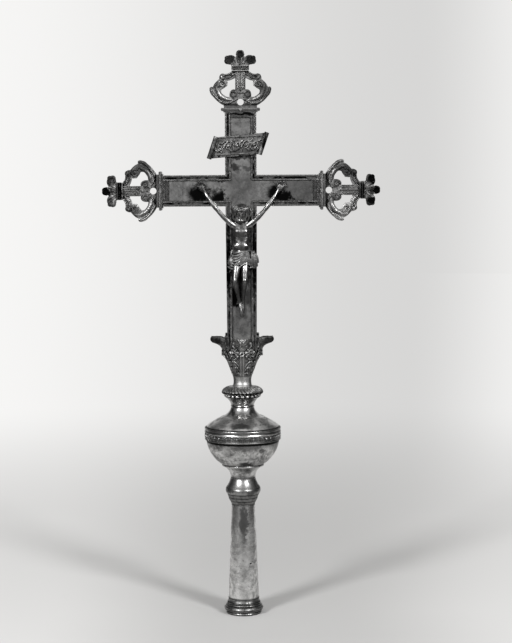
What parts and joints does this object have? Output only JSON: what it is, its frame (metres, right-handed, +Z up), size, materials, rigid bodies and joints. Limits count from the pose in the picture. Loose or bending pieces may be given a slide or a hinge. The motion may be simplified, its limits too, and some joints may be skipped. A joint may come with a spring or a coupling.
{
  "type": "processional cross",
  "caption": "Processional cross: plated cross with scrolled finials, a figure and a title scroll, on a leafy calyx, a knop and a tapered socket that fits over a staff end.",
  "frame": {"origin": "centre of the base ring's foot, on the surface that the cross stands on", "axes": "+Z up the staff, +X to the viewer's right, -Y the way the figure faces"},
  "size_m": [0.3038, 0.0856, 0.6214],
  "materials": {
    "bright_plate": "polished silver plate on brass, lightly tarnished",
    "satin_plate": "worn satin silver plate with turning lines and stains",
    "cast_plate": "cast brass, silver plated, dark tarnish in the hollows",
    "moulding_plate": "rolled moulding strip, tarnished silver plate",
    "dark_panel": "flat silvered plate, strongly tarnished and stained",
    "figure_silver": "cast and polished silvered figure, dark hollows",
    "wood_core": "plain hardwood, hidden under the plates",
    "iron": "dark wrought iron"
  },
  "bodies": {
    "stem": {"base_ring": "bright_plate", "socket_tube": "satin_plate", "socket_collar": "bright_plate", "socket_floor": "iron", "knop_foot": "bright_plate", "knop_bowl": "bright_plate", "knop_frieze": "cast_plate", "knop_shoulder": "satin_plate", "neck_ring": "bright_plate", "gadroon_ring": "cast_plate"},
    "head": {"neck_spool": "bright_plate", "calyx_cup": "cast_plate", "calyx_leaf_front": "cast_plate", "calyx_leaf_back": "cast_plate", "calyx_leaf_left": "cast_plate", "calyx_leaf_right": "cast_plate", "calyx_rosettes": "cast_plate", "finial_top": "cast_plate", "finial_left": "cast_plate", "finial_right": "cast_plate", "cap_top": "cast_plate", "cap_left": "cast_plate", "cap_right": "cast_plate", "cap_pins": "cast_plate", "front_moulding": "moulding_plate", "back_moulding": "moulding_plate", "edge_strip_upper_left": "moulding_plate", "edge_strip_upper_right": "moulding_plate", "edge_strip_lower_left": "moulding_plate", "edge_strip_lower_right": "moulding_plate", "front_plate": "dark_panel", "back_plate": "dark_panel", "figure_body": "figure_silver", "figure_arm_left": "figure_silver", "figure_arm_right": "figure_silver", "hand_nails": "figure_silver", "foot_nail": "figure_silver", "titulus": "figure_silver", "titulus_stud": "figure_silver", "cross_core": "wood_core", "tie_rod": "iron", "tie_washer": "iron", "tie_nut": "iron"}
  },
  "joints": [
    {"name": "cross_turn", "type": "hinge", "parent": "stem", "child": "head", "pos_m": [0, 0, 0.2545], "axis": [0, 0, 1], "continuous": true}
  ]
}
